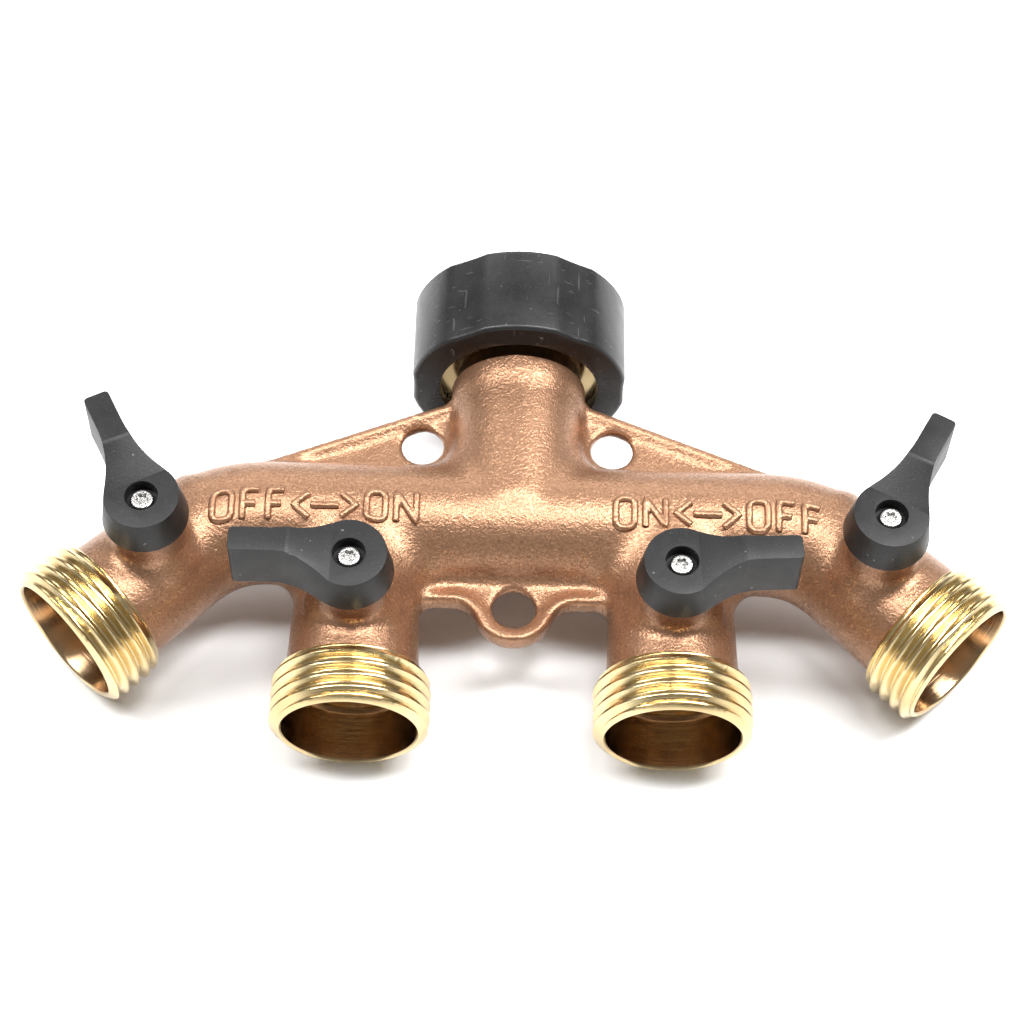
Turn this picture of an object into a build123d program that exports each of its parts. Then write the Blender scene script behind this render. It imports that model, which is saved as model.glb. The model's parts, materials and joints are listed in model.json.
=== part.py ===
from build123d import *
import os
from math import atan, cos, degrees, radians, sin

# A four-way garden hose splitter with a ball valve in each outlet, in millimetres.
# +X runs along the manifold, +Y points at the tap and +Z is the side that the levers are on.
# The part lies on its back. The origin is under the middle of its box, on the surface it lies on.

# Frame
AXIS_Z = 19.35  # every waterway's height, which is the union nut's largest radius
MANIFOLD_Y = -3.1  # the manifold's axis, placed so that the box is centred on the origin

# Cast body: the manifold, its elbows, the neck and the four outlets
TUBE_R = 10.7
BORE_R = 8.2
NECK_BORE_R = 8.5
ELBOW_R = 20.0
INNER_X = 26.8
INNER_REACH = 39.8  # from the manifold's axis to an inner mouth
OUTER_X = 51.4  # where the outer outlet's axis crosses the manifold's
OUTER_REACH = 34.1
OUTER_LEAN = 45.0
CROTCH_FILLET = 3.0

NECK_R = 11.5
NECK_COLLAR_R = 12.0
NECK_COLLAR_START = 23.9
NECK_COLLAR_FULL = 25.9
NECK_COLLAR_EDGE = 0.8
NECK_SHOULDER = 28.4  # from the manifold's axis to where the nut starts
SPIGOT_R = 10.92
SPIGOT_END = 35.0
SPIGOT_EDGE = 0.4
GROOVE_R = 10.05
GROOVE_START = 33.05
GROOVE_WIDTH = 1.1

# Hose thread, 3/4-11.5 garden hose, as ring-shaped ridges
PITCH = 25.4 / 11.5
THREAD_R = 13.3
THREAD_ROOT_R = 12.1
FIRST_CREST = 1.05
CRESTS = 4
CREST_HALF_LAND = 0.2
CREST_HALF_FOOT = 0.95

# Outlet, by distance in from its mouth
MOUTH_R = 11.2
MOUTH_STEP_R = 10.6
LIP_R = 12.2
MOUTH_DEPTH = 8.6
THREAD_COLLAR = (9.2, 9.9)
THREAD_COLLAR_R = 12.6
THREAD_END = 10.4
TUBE_FLARE_R = 11.2
FLARE_END = 26.0
CHAMBER_R = 8.9
GLAND_START = 10.0
GLAND_END = 14.0
GLAND_BORE_R = 6.2
GLAND_SLOT = 1.6
SEAT_R = 8.86
VALVE_DEPTH = 20.4
SEAT_LENGTH = 2.9
CHAMBER_END = 2 * VALVE_DEPTH - GLAND_END
PORT_R = 5.5
PORT_END = 34.0

# Valve boss, ball and stem, by height above the waterway
BOSS_R = 5.8
BOSS_TOP = 17.8
BOSS_FOOT = (8.4, 8.3)  # height and radius where its foot starts
BOSS_NECK = 11.8  # height where the foot ends
BALL_R = 7.5
BALL_BORE_R = 4.8
SEAT_GAP = 0.05
SEAT_BORE_R = 5.4
SLOT_WIDTH = 2.6
SLOT_FLOOR = 5.8
TANG = (6.4, 2.5)
TANG_BOTTOM = 5.9
TANG_TOP = 7.7
STEM_SHOULDER_R = 3.4
STEM_SHOULDER_TOP = 9.7
RECESS_R = 3.8
RECESS_TOP = 9.9
STEM_R = 3.0
STEM_HOLE_R = 3.05
STEM_SQUARE = 4.2
STEM_ROUND_TOP = 17.9
STEM_TOP = 20.3
RING_HEIGHTS = (11.9, 14.8)
RING_WIRE_R = 0.6
RING_R = 2.42
RING_GROOVE_WIDTH = 1.5
RING_GROOVE_R = 1.8

# Lever, by height above the waterway and distance from the stem's axis
LEVER_BOTTOM = 18.0
HUB_TOP = 24.2
HUB_R = 7.15
HUB_TOP_R = 6.15
HUB_DRAFT = degrees(atan((HUB_R - HUB_TOP_R) / (HUB_TOP - LEVER_BOTTOM)))
PADDLE_TOP = 28.0
PADDLE_TIP = 19.2
PADDLE_HALF = 2.35
PADDLE_START = 13.0
RAMP_START = 2.9
RAMP_END = 9.9
ARM_ANGLE = 55.0  # where the arm leaves the hub, in degrees from the lever's axis
ARM_CURVE = 3.8
ARM_DRAFT = 1.2
SOCKET_SQUARE = 4.3
SOCKET_TOP = 20.5
COUNTERBORE_R = 2.75
COUNTERBORE_FLOOR = 21.7

# Lever screw
SCREW_HEAD_R = 1.95
SCREW_HEAD_TOP = 23.25
SCREW_R = 1.0
SCREW_HOLE_R = 1.05
SCREW_END = 12.6
SCREW_HEAD_ROUND = 0.5
DRIVE_R = 0.8
DRIVE_LOBE_R = 0.3
DRIVE_DEPTH = 0.9

# Webs between the tubes
WEB = 3.0
BEAD = 4.2  # thickness of the raised rim
BEAD_WIDTH = 1.3
WEB_ROOT = 9.2  # webs start inside the tube walls, clear of the waterways
WEB_TOP = (9.2, 26.2)
WEB_OUT = (47.4, 10.5)
LOWER_WEB_Y = -15.5
LOWER_WEB_WIDTH = 34.0
HOLE_R = 3.7
UPPER_HOLE = (16.75, 16.2)
LOWER_HOLE_Y = -16.1
EAR_R = 6.8
EAR_FILLET = 3.6

# Union nut, by distance from the manifold's axis
NUT_R = 19.35
NUT_START = 29.0
NUT_END = 46.0
NUT_FLAT = 19.0  # from the axis to the middle of a flat
NUT_LIP = 2.4
NUT_OPENING_R = 14.2
NUT_EDGE = 0.8
INSERT_HALF_HEX = 14.9
INSERT_GAP = 0.03
INSERT_END = 45.4
INSERT_FLOOR = 32.9
INSERT_HOLE_R = 11.0
INSERT_MINOR_R = 12.15
INSERT_MAJOR_R = 13.4
INSERT_FIRST = 37.8
CLIP_START = 33.1
CLIP_THICKNESS = 1.0
CLIP_INNER_R = 10.1
CLIP_OUTER_R = 11.9
CLIP_GAP = 50.0  # degrees
WASHER_START = 35.15
WASHER_THICKNESS = 1.6
WASHER_BORE_R = 7.4
WASHER_R = 12.6


def outlet_plane(side, corner, lean, reach):
    """A plane at the centre of a mouth: x runs in along the waterway and z is up."""
    heading = radians(90 + side * lean)
    inward = Vector(cos(heading), sin(heading), 0)
    mouth = Vector(side * corner, MANIFOLD_Y, AXIS_Z) - inward * reach
    return Plane(origin=mouth, x_dir=inward, z_dir=(0, 0, 1))


def lever_plane(side, lean, outlet, opened):
    """A plane on the waterway at the stem's axis: x points along the lever, which stands some
    degrees open, and z is up."""
    heading = radians(90 + side * (lean - 90 + opened))
    centre = outlet.from_local_coords(Vector(VALVE_DEPTH, 0, 0))
    return Plane(origin=centre, x_dir=(cos(heading), sin(heading), 0), z_dir=(0, 0, 1))


def across_neck(distance):
    """A plane across the neck's axis, facing the tap, with x up."""
    return Plane(origin=(0, MANIFOLD_Y + distance, AXIS_Z), x_dir=(0, 0, 1), z_dir=(0, 1, 0))


def upright(valve):
    """A plane whose x axis runs up the stem, so that stem outlines are (height, radius)."""
    return Plane(origin=valve.origin, x_dir=(0, 0, 1), z_dir=(1, 0, 0))


def turn(plane, outline, mode=Mode.ADD):
    """Spin an outline of (distance, radius) points about its plane's x axis."""
    with BuildSketch(plane) as profile:
        with BuildLine():
            Polyline(*outline, close=True)
        make_face()
    revolve(profile.sketch, axis=Axis(plane.origin, plane.x_dir), mode=mode)


def ridges(first, count, crest, root):
    """Outline points of a thread's ridges, each with a narrow land at its crest."""
    points = []
    for ridge in range(count):
        middle = first + ridge * PITCH
        points.append((middle - CREST_HALF_FOOT, root))
        points.append((middle - CREST_HALF_LAND, crest))
        points.append((middle + CREST_HALF_LAND, crest))
        points.append((middle + CREST_HALF_FOOT, root))
    return points


def finish(piece, name):
    """Label a finished piece and write its STEP file."""
    piece.part.label = name
    export_step(piece.part, f"parts/{name}.step")


os.makedirs("parts", exist_ok=True)

middle = Plane(origin=(0, MANIFOLD_Y, AXIS_Z), z_dir=(0, 0, 1))
neck = Plane(origin=middle.origin, x_dir=(0, 1, 0), z_dir=(0, 0, 1))

outlets = {}
valves = {}
for name, side, corner, lean, reach, opened in (
    ("outer_left", -1, OUTER_X, OUTER_LEAN, OUTER_REACH, 17.4),
    ("inner_left", -1, INNER_X, 0, INNER_REACH, 0),
    ("inner_right", 1, INNER_X, 0, INNER_REACH, 3),
    ("outer_right", 1, OUTER_X, OUTER_LEAN, OUTER_REACH, 15.9),
):
    outlets[name] = outlet_plane(side, corner, lean, reach)
    valves[name] = lever_plane(side, lean, outlets[name], opened)

# Cast body -----------------------------------------------------------------------------------
with BuildPart() as manifold_body:
    # Manifold tube, bent down into the two outer outlets
    tube_start = OUTER_REACH - THREAD_END
    with BuildLine(middle) as run:
        FilletPolyline(
            (-OUTER_X - tube_start * sin(radians(OUTER_LEAN)), -tube_start * cos(radians(OUTER_LEAN))),
            (-OUTER_X, 0),
            (OUTER_X, 0),
            (OUTER_X + tube_start * sin(radians(OUTER_LEAN)), -tube_start * cos(radians(OUTER_LEAN))),
            radius=ELBOW_R,
        )
    with BuildSketch(Plane(origin=run.line @ 0, z_dir=run.line % 0)):
        Circle(TUBE_R)
    sweep(path=run.line)

    # Inner outlets and neck
    for name in ("inner_left", "inner_right"):
        turn(outlets[name], [(THREAD_END, 0), (THREAD_END, TUBE_R), (INNER_REACH, TUBE_R), (INNER_REACH, 0)])
    turn(neck, [(0, 0), (0, NECK_R), (NECK_SHOULDER, NECK_R), (NECK_SHOULDER, 0)])
    fillet(edges().filter_by(GeomType.BSPLINE), CROTCH_FILLET)

    # Neck collar under the nut, and the turned spigot that the nut hangs on
    turn(
        neck,
        [
            (NECK_COLLAR_START, NECK_R - 0.5),
            (NECK_COLLAR_FULL, NECK_COLLAR_R),
            (NECK_SHOULDER - NECK_COLLAR_EDGE, NECK_COLLAR_R),
            (NECK_SHOULDER, NECK_COLLAR_R - NECK_COLLAR_EDGE),
            (NECK_SHOULDER, SPIGOT_R),
            (GROOVE_START, SPIGOT_R),
            (GROOVE_START, GROOVE_R),
            (GROOVE_START + GROOVE_WIDTH, GROOVE_R),
            (GROOVE_START + GROOVE_WIDTH, SPIGOT_R),
            (SPIGOT_END - SPIGOT_EDGE, SPIGOT_R),
            (SPIGOT_END, SPIGOT_R - SPIGOT_EDGE),
            (SPIGOT_END, BORE_R),
            (NECK_COLLAR_START, BORE_R),
        ],
    )

    # A boss for each stem, with a sloping foot
    for valve in valves.values():
        boss = [(0, 0), (0, BOSS_FOOT[1]), BOSS_FOOT, (BOSS_NECK, BOSS_R), (BOSS_TOP, BOSS_R), (BOSS_TOP, 0)]
        turn(upright(valve), boss)

    # Threaded outlets, each with a rounded lip and a tube that flares towards the thread
    for outlet in outlets.values():
        spigot = [(0, 0), (0, LIP_R)]
        spigot += ridges(FIRST_CREST, CRESTS, THREAD_R, THREAD_ROOT_R)[1:]
        spigot += [
            (THREAD_COLLAR[0], THREAD_COLLAR_R),
            (THREAD_COLLAR[1], THREAD_COLLAR_R),
            (THREAD_END + 0.2, TUBE_FLARE_R),
            (FLARE_END, TUBE_R - 0.15),
            (FLARE_END, 0),
        ]
        turn(outlet, spigot)

    # Waterways, valve chambers and stem holes
    turn(neck, [(0, 0), (0, NECK_BORE_R), (SPIGOT_END, NECK_BORE_R), (SPIGOT_END, 0)], Mode.SUBTRACT)
    with BuildSketch(Plane(origin=(-OUTER_X + 2, MANIFOLD_Y, AXIS_Z), z_dir=(1, 0, 0))):
        Circle(BORE_R)
    extrude(amount=2 * OUTER_X - 4, mode=Mode.SUBTRACT)
    for outlet in outlets.values():
        waterway = [
            (0, 0),
            (0, MOUTH_R),
            (MOUTH_DEPTH, MOUTH_STEP_R),
            (MOUTH_DEPTH, CHAMBER_R),
            (CHAMBER_END, CHAMBER_R),
            (CHAMBER_END, PORT_R),
            (PORT_END, PORT_R),
            (PORT_END, 0),
        ]
        turn(outlet, waterway, Mode.SUBTRACT)
    for valve in valves.values():
        stem_way = [
            (0, 0),
            (0, RECESS_R),
            (RECESS_TOP, RECESS_R),
            (RECESS_TOP, STEM_HOLE_R),
            (BOSS_TOP, STEM_HOLE_R),
            (BOSS_TOP, 0),
        ]
        turn(upright(valve), stem_way, Mode.SUBTRACT)

    # Webs, each a plate with a raised rim, then their holes
    with BuildSketch(middle) as upper_webs:
        with BuildLine():
            Polyline((WEB_TOP[0], WEB_ROOT), WEB_TOP, WEB_OUT, (WEB_OUT[0], WEB_ROOT), close=True)
        make_face()
        mirror(about=Plane.YZ)
    with BuildSketch(middle) as lower_web:
        with Locations((0, LOWER_WEB_Y)):
            Rectangle(LOWER_WEB_WIDTH, -LOWER_WEB_Y - WEB_ROOT, align=(Align.CENTER, Align.MIN))
        with Locations((0, LOWER_HOLE_Y)):
            Circle(EAR_R)
        fillet(lower_web.vertices().filter_by(lambda v: abs(v.X) < EAR_R + 0.1), EAR_FILLET)
    extrude(amount=WEB / 2, both=True)
    for web in (upper_webs.sketch, lower_web.sketch):
        rim = web - offset(web, amount=-BEAD_WIDTH, mode=Mode.PRIVATE)
        extrude(rim, amount=BEAD / 2, both=True)

    # Three holes to screw the body to a wall
    with BuildSketch(middle):
        with Locations((-UPPER_HOLE[0], UPPER_HOLE[1]), UPPER_HOLE, (0, LOWER_HOLE_Y)):
            Circle(HOLE_R)
    extrude(amount=BEAD, both=True, mode=Mode.SUBTRACT)
finish(manifold_body, "manifold_body")

# Valves: one ball valve in each outlet --------------------------------------------------------
for name, valve in valves.items():
    outlet = outlets[name]
    stem_axis = upright(valve)

    # Ball: its bore and the slot for the stem both run the way the lever points
    with BuildPart(valve) as ball:
        Sphere(BALL_R)
        Cylinder(BALL_BORE_R, 3 * BALL_R, rotation=(0, 90, 0), mode=Mode.SUBTRACT)
        with Locations((0, 0, SLOT_FLOOR)):
            Box(2 * BALL_R, SLOT_WIDTH, BALL_R, align=(Align.CENTER, Align.CENTER, Align.MIN), mode=Mode.SUBTRACT)
    finish(ball, f"{name}_ball")

    # Stem: a tang in the ball's slot, a shoulder that water pressure holds up, two ring grooves
    # and a square for the lever
    with BuildPart() as stem:
        shaft = [(TANG_TOP, 0), (TANG_TOP, STEM_SHOULDER_R)]
        shaft += [(STEM_SHOULDER_TOP, STEM_SHOULDER_R), (STEM_SHOULDER_TOP, STEM_R)]
        for height in RING_HEIGHTS:
            for edge, radius in ((-1, STEM_R), (-1, RING_GROOVE_R), (1, RING_GROOVE_R), (1, STEM_R)):
                shaft.append((height + edge * RING_GROOVE_WIDTH / 2, radius))
        shaft += [(STEM_ROUND_TOP, STEM_R), (STEM_ROUND_TOP, 0)]
        turn(stem_axis, shaft)
        with BuildSketch(valve.offset(TANG_BOTTOM)):
            Rectangle(*TANG)
        extrude(amount=TANG_TOP - TANG_BOTTOM)
        with BuildSketch(valve.offset(STEM_ROUND_TOP)):
            Rectangle(STEM_SQUARE, STEM_SQUARE)
        extrude(amount=STEM_TOP - STEM_ROUND_TOP)
        with BuildSketch(valve.offset(SCREW_END - 0.4)):
            Circle(SCREW_HOLE_R)
        extrude(amount=STEM_TOP, mode=Mode.SUBTRACT)
    finish(stem, f"{name}_stem")

    # Two rubber rings seal the stem in its boss
    with BuildPart() as stem_rings:
        for height in RING_HEIGHTS:
            with BuildSketch(stem_axis):
                with Locations((height, RING_R)):
                    Circle(RING_WIRE_R)
            revolve(axis=Axis(valve.origin, (0, 0, 1)))
    finish(stem_rings, f"{name}_stem_rings")

    # Seats: two soft rings that the ball turns between
    for seat_name, start in (("outer_seat", GLAND_END), ("inner_seat", CHAMBER_END - SEAT_LENGTH)):
        with BuildPart() as seat:
            with BuildSketch(outlet):
                with Locations((start, SEAT_BORE_R)):
                    Rectangle(SEAT_LENGTH, SEAT_R - SEAT_BORE_R, align=Align.MIN)
                with Locations((VALVE_DEPTH, 0)):
                    Circle(BALL_R + SEAT_GAP, mode=Mode.SUBTRACT)
            revolve(axis=Axis(outlet.origin, outlet.x_dir))
        finish(seat, f"{name}_{seat_name}")

    # Gland: the ring that is screwed in through the mouth and holds the seats against the ball
    with BuildPart() as gland:
        turn(
            outlet,
            [(GLAND_START, GLAND_BORE_R), (GLAND_START, SEAT_R), (GLAND_END, SEAT_R), (GLAND_END, GLAND_BORE_R)],
        )
        with BuildSketch(Plane(origin=outlet.from_local_coords(Vector(GLAND_START, 0, 0)), z_dir=outlet.x_dir)):
            Rectangle(2 * SEAT_R - 2, GLAND_SLOT, rotation=90)
        extrude(amount=GLAND_SLOT, mode=Mode.SUBTRACT)
    finish(gland, f"{name}_gland")

    # Lever: a conical hub with a tall paddle that a ramp leads up to
    with BuildPart() as lever:
        with BuildSketch(valve.offset(LEVER_BOTTOM)):
            Circle(HUB_R)
        extrude(amount=HUB_TOP - LEVER_BOTTOM, taper=HUB_DRAFT)
        with BuildSketch(valve.offset(LEVER_BOTTOM)):
            Circle(HUB_TOP_R)
            leaving = Vector(HUB_TOP_R, 0).rotate(Axis.Z, ARM_ANGLE)
            with BuildLine():
                Bezier(
                    leaving,
                    leaving + Vector(ARM_CURVE, 0).rotate(Axis.Z, ARM_ANGLE - 90),
                    (PADDLE_START - ARM_CURVE, PADDLE_HALF),
                    (PADDLE_START, PADDLE_HALF),
                )
                Polyline((PADDLE_START, PADDLE_HALF), (PADDLE_TIP, PADDLE_HALF), (PADDLE_TIP, 0), (0, 0), leaving)
            make_face()
            mirror(about=Plane.XZ)
        extrude(amount=PADDLE_TOP - LEVER_BOTTOM, taper=ARM_DRAFT)
        with BuildSketch(Plane(origin=valve.origin, x_dir=valve.x_dir, z_dir=-valve.y_dir)):
            with BuildLine():
                Polyline(
                    (-PADDLE_TIP, HUB_TOP),
                    (RAMP_START, HUB_TOP),
                    (RAMP_END, PADDLE_TOP),
                    (RAMP_END, 2 * PADDLE_TOP),
                    (-PADDLE_TIP, 2 * PADDLE_TOP),
                    close=True,
                )
            make_face()
        extrude(amount=PADDLE_TIP, both=True, mode=Mode.SUBTRACT)
        with BuildSketch(valve.offset(LEVER_BOTTOM)):
            Rectangle(SOCKET_SQUARE, SOCKET_SQUARE)
        extrude(amount=SOCKET_TOP - LEVER_BOTTOM, mode=Mode.SUBTRACT)
        with BuildSketch(valve.offset(LEVER_BOTTOM)):
            Circle(SCREW_HOLE_R)
        extrude(amount=HUB_TOP, mode=Mode.SUBTRACT)
        with BuildSketch(valve.offset(COUNTERBORE_FLOOR)):
            Circle(COUNTERBORE_R)
        extrude(amount=HUB_TOP, mode=Mode.SUBTRACT)
    finish(lever, f"{name}_lever")

    # Screw: a pan head with a six-lobed recess, into the stem
    with BuildPart() as screw:
        with BuildSketch(valve.offset(COUNTERBORE_FLOOR)):
            Circle(SCREW_HEAD_R)
        extrude(amount=SCREW_HEAD_TOP - COUNTERBORE_FLOOR)
        fillet(screw.edges().sort_by(Axis.Z)[-1], SCREW_HEAD_ROUND)
        with BuildSketch(valve.offset(SCREW_HEAD_TOP)):
            Circle(DRIVE_R)
            with PolarLocations(DRIVE_R, 6):
                Circle(DRIVE_LOBE_R)
        extrude(amount=-DRIVE_DEPTH, mode=Mode.SUBTRACT)
        with BuildSketch(valve.offset(SCREW_END)):
            Circle(SCREW_R)
        extrude(amount=COUNTERBORE_FLOOR - SCREW_END)
    finish(screw, f"{name}_lever_screw")

# Union nut ------------------------------------------------------------------------------------
# Cover: six round lobes and six flats, chamfered at both ends, round a hexagonal pocket
with BuildPart() as nut_cover:
    with BuildSketch(across_neck(NUT_START)):
        Circle(NUT_R)
        RegularPolygon(NUT_FLAT, 6, major_radius=False, mode=Mode.INTERSECT)
    extrude(amount=NUT_END - NUT_START)
    turn(
        neck,
        [
            (NUT_START, 0),
            (NUT_START, NUT_R - NUT_EDGE),
            (NUT_START + NUT_EDGE, NUT_R + 0.1),
            (NUT_END - NUT_EDGE, NUT_R + 0.1),
            (NUT_END, NUT_R - NUT_EDGE),
            (NUT_END, 0),
        ],
        Mode.INTERSECT,
    )
    with BuildSketch(across_neck(NUT_START)):
        Circle(NUT_OPENING_R)
    extrude(amount=NUT_LIP, mode=Mode.SUBTRACT)
    with BuildSketch(across_neck(NUT_START + NUT_LIP)):
        RegularPolygon(INSERT_HALF_HEX + INSERT_GAP, 6, major_radius=False)
    extrude(amount=NUT_END, mode=Mode.SUBTRACT)
finish(nut_cover, "nut_cover")

# Insert: a brass hexagon with the female hose thread, and a floor that turns on the spigot
with BuildPart() as nut_insert:
    with BuildSketch(across_neck(NUT_START + NUT_LIP)):
        RegularPolygon(INSERT_HALF_HEX, 6, major_radius=False)
    extrude(amount=INSERT_END - NUT_START - NUT_LIP)
    hollow = [(NUT_START, 0), (NUT_START, INSERT_HOLE_R), (INSERT_FLOOR, INSERT_HOLE_R), (INSERT_FLOOR, WASHER_R)]
    hollow += [(INSERT_FIRST - CREST_HALF_FOOT - 0.5, WASHER_R)]
    hollow += ridges(INSERT_FIRST, CRESTS, INSERT_MINOR_R, INSERT_MAJOR_R)
    hollow += [(INSERT_END - 0.3, INSERT_MAJOR_R), (NUT_END, INSERT_MAJOR_R + 0.7), (NUT_END, 0)]
    turn(neck, hollow, Mode.SUBTRACT)
finish(nut_insert, "nut_insert")

# Snap ring: a split ring in the spigot's groove, which keeps the nut on
with BuildPart() as nut_snap_ring:
    with BuildSketch(across_neck(CLIP_START)):
        Circle(CLIP_OUTER_R)
        Circle(CLIP_INNER_R, mode=Mode.SUBTRACT)
        with BuildLine():
            reach = 2 * CLIP_OUTER_R
            side = Vector(reach, 0).rotate(Axis.Z, CLIP_GAP / 2)
            Polyline((0, 0), side, (side.X, -side.Y), close=True)
        make_face(mode=Mode.SUBTRACT)
    extrude(amount=CLIP_THICKNESS)
finish(nut_snap_ring, "nut_snap_ring")

# Washer: the rubber ring that a tap is tightened against
with BuildPart() as inlet_washer:
    with BuildSketch(across_neck(WASHER_START)):
        Circle(WASHER_R - INSERT_GAP)
        Circle(WASHER_BORE_R, mode=Mode.SUBTRACT)
    extrude(amount=WASHER_THICKNESS)
finish(inlet_washer, "inlet_washer")
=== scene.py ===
"""A four-way garden hose splitter: its looks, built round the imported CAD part.

Sizes are in metres, in the part's own frame: +X runs along the manifold, +Y points at the tap and +Z is the
side that the levers are on. Outlines that are turned or cut out are written in millimetres.
"""

import json
from math import asin, atan2, cos, degrees, hypot, pi, radians, sin, sqrt

import bpy
from bpy.props import FloatProperty, FloatVectorProperty, PointerProperty
from mathutils import Matrix, Vector

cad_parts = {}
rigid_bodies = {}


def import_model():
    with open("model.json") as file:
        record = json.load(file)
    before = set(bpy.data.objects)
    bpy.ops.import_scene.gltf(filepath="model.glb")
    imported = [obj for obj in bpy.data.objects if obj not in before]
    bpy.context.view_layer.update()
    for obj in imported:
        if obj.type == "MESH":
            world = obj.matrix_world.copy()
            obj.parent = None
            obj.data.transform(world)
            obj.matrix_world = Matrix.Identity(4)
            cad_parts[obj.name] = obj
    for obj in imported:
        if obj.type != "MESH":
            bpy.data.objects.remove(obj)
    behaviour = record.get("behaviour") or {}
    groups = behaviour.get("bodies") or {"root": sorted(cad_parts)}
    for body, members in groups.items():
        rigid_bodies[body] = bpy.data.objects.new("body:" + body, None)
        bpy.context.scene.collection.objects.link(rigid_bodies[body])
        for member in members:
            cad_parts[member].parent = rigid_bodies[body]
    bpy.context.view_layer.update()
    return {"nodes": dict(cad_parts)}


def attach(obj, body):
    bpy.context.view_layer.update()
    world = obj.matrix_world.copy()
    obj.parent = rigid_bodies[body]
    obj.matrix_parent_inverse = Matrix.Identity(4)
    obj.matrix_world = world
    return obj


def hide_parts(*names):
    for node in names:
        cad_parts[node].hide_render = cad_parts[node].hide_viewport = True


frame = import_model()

bl_info = {
    "name": "Hose Splitter",
    "version": (1, 0, 0),
    "blender": (4, 5, 0),
    "location": "View3D > Sidebar > Splitter",
    "description": "Builds the looks of a four-way garden hose splitter round its CAD frame",
    "category": "Add Mesh",
}

MM = 0.001

# Where the waterways lie ----------------------------------------------------------------------
AXIS = Vector((0, -3.1, 19.35)) * MM  # middle of the manifold
OUTER_CORNER = 51.4  # where an outer outlet's axis crosses the manifold's
INNER_X = 26.8
VALVE_DEPTH = 20.4  # from a mouth in to the stem
THREAD_END = 10.4

# name: side, lean in degrees, place on the manifold, reach to the mouth, how far the lever stands open
OUTLETS = {
    "outer_left": (-1, 45, OUTER_CORNER, 34.1, 17.4),
    "inner_left": (-1, 0, INNER_X, 39.8, 0),
    "inner_right": (1, 0, INNER_X, 39.8, 3),
    "outer_right": (1, 45, OUTER_CORNER, 34.1, 15.9),
}


def outlet_place(name):
    """Where an outlet is: a matrix whose origin is the mouth, with x running in and z up."""
    side, lean, corner, reach, _ = OUTLETS[name]
    heading = radians(90 + side * lean)
    inward = Vector((cos(heading), sin(heading), 0))
    mouth = AXIS + Vector((side * corner, 0, 0)) * MM - inward * reach * MM
    return Matrix.Translation(mouth) @ Matrix.Rotation(heading, 4, "Z")


def valve_place(name, opened=0.0):
    """Where a valve is: a matrix on the waterway at the stem, with x along the lever and z up the stem."""
    side, lean, _, _, rest = OUTLETS[name]
    centre = outlet_place(name) @ Vector((VALVE_DEPTH * MM, 0, 0))
    heading = radians(90 + side * (lean - 90 + rest + opened))
    return Matrix.Translation(centre) @ Matrix.Rotation(heading, 4, "Z")


# Turns for pieces: from along z to along x, and from along x to up or to the tap
ALONG_X = Matrix(((0, 0, 1, 0), (1, 0, 0, 0), (0, 1, 0, 0), (0, 0, 0, 1)))
UPRIGHT = Matrix(((0, 0, -1, 0), (0, 1, 0, 0), (1, 0, 0, 0), (0, 0, 0, 1)))
ALONG_NECK = Matrix.Rotation(radians(90), 4, "Z")


# Modelling ------------------------------------------------------------------------------------
def only(*pieces):
    """Select these pieces and nothing else, and make the first one active."""
    for piece in bpy.context.view_layer.objects:
        piece.select_set(False)
    for piece in pieces:
        piece.select_set(True)
    bpy.context.view_layer.objects.active = pieces[0]


def edit(*steps):
    """Run steps on the active piece in edit mode."""
    bpy.ops.object.mode_set(mode="EDIT")
    for step in steps:
        step()
    bpy.ops.object.mode_set(mode="OBJECT")


def select_all():
    bpy.ops.mesh.select_all(action="SELECT")


def merge_doubles():
    select_all()
    bpy.ops.mesh.remove_doubles(threshold=1e-6)


def face_outwards():
    select_all()
    bpy.ops.mesh.normals_make_consistent(inside=False)


def settle(piece, place=None):
    """Put a piece in its place in the part's frame and bake that into its mesh."""
    only(piece)
    if place is not None:
        piece.matrix_world = place @ piece.matrix_world
    bpy.ops.object.transform_apply(location=True, rotation=True, scale=True)
    return piece


def modify(piece, kind, **settings):
    """Add one modifier and apply it."""
    only(piece)
    modifier = piece.modifiers.new(kind.title(), kind)
    for setting, value in settings.items():
        setattr(modifier, setting, value)
    bpy.ops.object.modifier_apply(modifier=modifier.name)
    return piece


def arc(centre, radius, start, end, count):
    """Points on an arc between two angles in degrees."""
    angles = [radians(start + (end - start) * i / count) for i in range(count + 1)]
    return [(centre[0] + radius * cos(a), centre[1] + radius * sin(a)) for a in angles]


def outline_ring(name, points):
    """A closed outline: a circle whose points are moved to (x, z) places in millimetres."""
    bpy.ops.mesh.primitive_circle_add(vertices=len(points), radius=MM)
    piece = bpy.context.object
    piece.name = piece.data.name = name
    for vertex, (x, z) in zip(piece.data.vertices, points):
        vertex.co = (x * MM, 0, z * MM)
    return piece


def lathe(name, outline, steps=96, place=None):
    """Spin a closed outline of (distance, radius) points about x."""
    piece = outline_ring(name, outline)
    only(piece)
    edit(
        select_all,
        lambda: bpy.ops.mesh.spin(steps=steps, angle=2 * pi, center=(0, 0, 0), axis=(1, 0, 0)),
        merge_doubles,
        lambda: bpy.ops.mesh.dissolve_degenerate(threshold=1e-7),
        face_outwards,
    )
    return settle(piece, place)


def drum(name, radius, start, end, steps=96, place=None):
    """A cylinder along x, in millimetres."""
    bpy.ops.mesh.primitive_cone_add(
        vertices=steps, radius1=radius * MM, radius2=radius * MM, depth=(end - start) * MM
    )
    piece = bpy.context.object
    piece.name = piece.data.name = name
    settle(piece, ALONG_X @ Matrix.Translation((0, 0, (start + end) / 2 * MM)))
    return settle(piece, place)


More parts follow.
